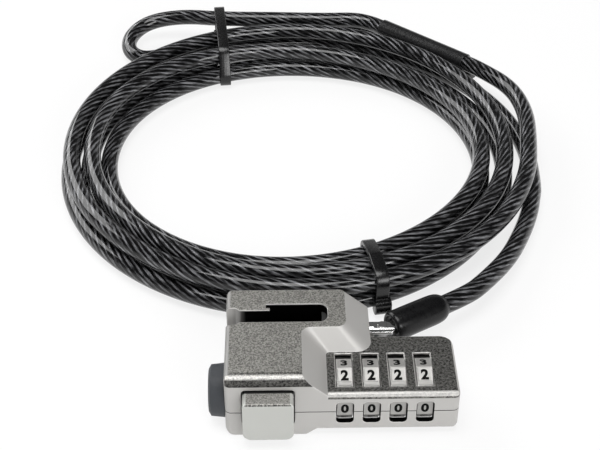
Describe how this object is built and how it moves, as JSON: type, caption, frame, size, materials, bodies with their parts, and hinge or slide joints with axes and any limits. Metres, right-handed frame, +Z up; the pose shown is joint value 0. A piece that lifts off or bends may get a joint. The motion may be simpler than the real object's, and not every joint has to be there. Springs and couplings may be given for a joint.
{
  "type": "laptop cable lock",
  "caption": "Combination laptop lock: die-cast head with a slot, number dials, push tab and swivel stem, on a wound steel cable with a crimped eye.",
  "frame": {"origin": "middle of the lock head's footprint, on the surface it lies on", "axes": "+X from the end knob to the dials, +Y from the front tab to the cable, +Z up"},
  "size_m": [0.1498, 0.2042, 0.0186],
  "materials": {
    "die_cast": "satin",
    "wheel_metal": "satin",
    "steel": "machined",
    "chrome": "polished",
    "knob_plastic": "matt",
    "dark_rubber": "matt",
    "black_plastic": "gloss",
    "cable": "gloss clear jacket over dark wire rope"
  },
  "bodies": {
    "cable": {"cable_lead": "cable", "cable_coil": "cable", "cable_eye": "cable", "crimp_sleeve": "black_plastic", "tie_front": "black_plastic", "tie_rear": "black_plastic", "cable_boot": "black_plastic", "cable_terminal": "steel"},
    "stem": {"swivel_stem": "chrome", "pivot_rivet": "chrome"},
    "head": {"top_shell": "die_cast", "bottom_shell": "die_cast", "shell_screws": "steel", "slot_pad": "dark_rubber", "detent_spring": "steel", "tab_spring": "steel"},
    "tab": {"front_tab": "die_cast", "locking_bar": "steel"},
    "knob": {"end_knob": "knob_plastic", "spindle": "steel", "spindle_pin": "steel"},
    "dial_1": {"number_wheel_1": "wheel_metal", "code_ring_1": "steel"},
    "dial_2": {"number_wheel_2": "wheel_metal", "code_ring_2": "steel"},
    "dial_3": {"number_wheel_3": "wheel_metal", "code_ring_3": "steel"},
    "dial_4": {"number_wheel_4": "wheel_metal", "code_ring_4": "steel"}
  },
  "joints": [
    {"name": "boot_pivot", "type": "hinge", "parent": "cable", "child": "stem", "pos_m": [0.01365, 0.01445, 0.0077], "axis": [0, 0, 1], "range_deg": [0, 40]},
    {"name": "stem_swivel", "type": "hinge", "parent": "stem", "child": "head", "pos_m": [0.00735, 0.01445, 0.0077], "axis": [-1, 0, 0], "range_deg": [0, 110]},
    {"name": "tab_slide", "type": "slide", "parent": "head", "child": "tab", "axis": [0, 1, 0], "range_m": [0, 0.0043], "stiffness_N_per_m": 150, "springref_m": -0.003, "deforming": ["tab_spring"]},
    {"name": "knob_slide", "type": "slide", "parent": "head", "child": "knob", "axis": [1, 0, 0], "range_m": [0, 0.0024]},
    {"name": "dial_1_turn", "type": "hinge", "parent": "head", "child": "dial_1", "pos_m": [0.00275, -0.00625, 0.0077], "axis": [1, 0, 0], "continuous": true},
    {"name": "dial_2_turn", "type": "hinge", "parent": "head", "child": "dial_2", "pos_m": [0.0093, -0.00625, 0.0077], "axis": [1, 0, 0], "continuous": true},
    {"name": "dial_3_turn", "type": "hinge", "parent": "head", "child": "dial_3", "pos_m": [0.01585, -0.00625, 0.0077], "axis": [1, 0, 0], "continuous": true},
    {"name": "dial_4_turn", "type": "hinge", "parent": "head", "child": "dial_4", "pos_m": [0.0224, -0.00625, 0.0077], "axis": [1, 0, 0], "continuous": true}
  ],
  "couplings": [
    {"joint": "knob_slide", "follows": "tab_slide", "ratio": 0.558}
  ]
}
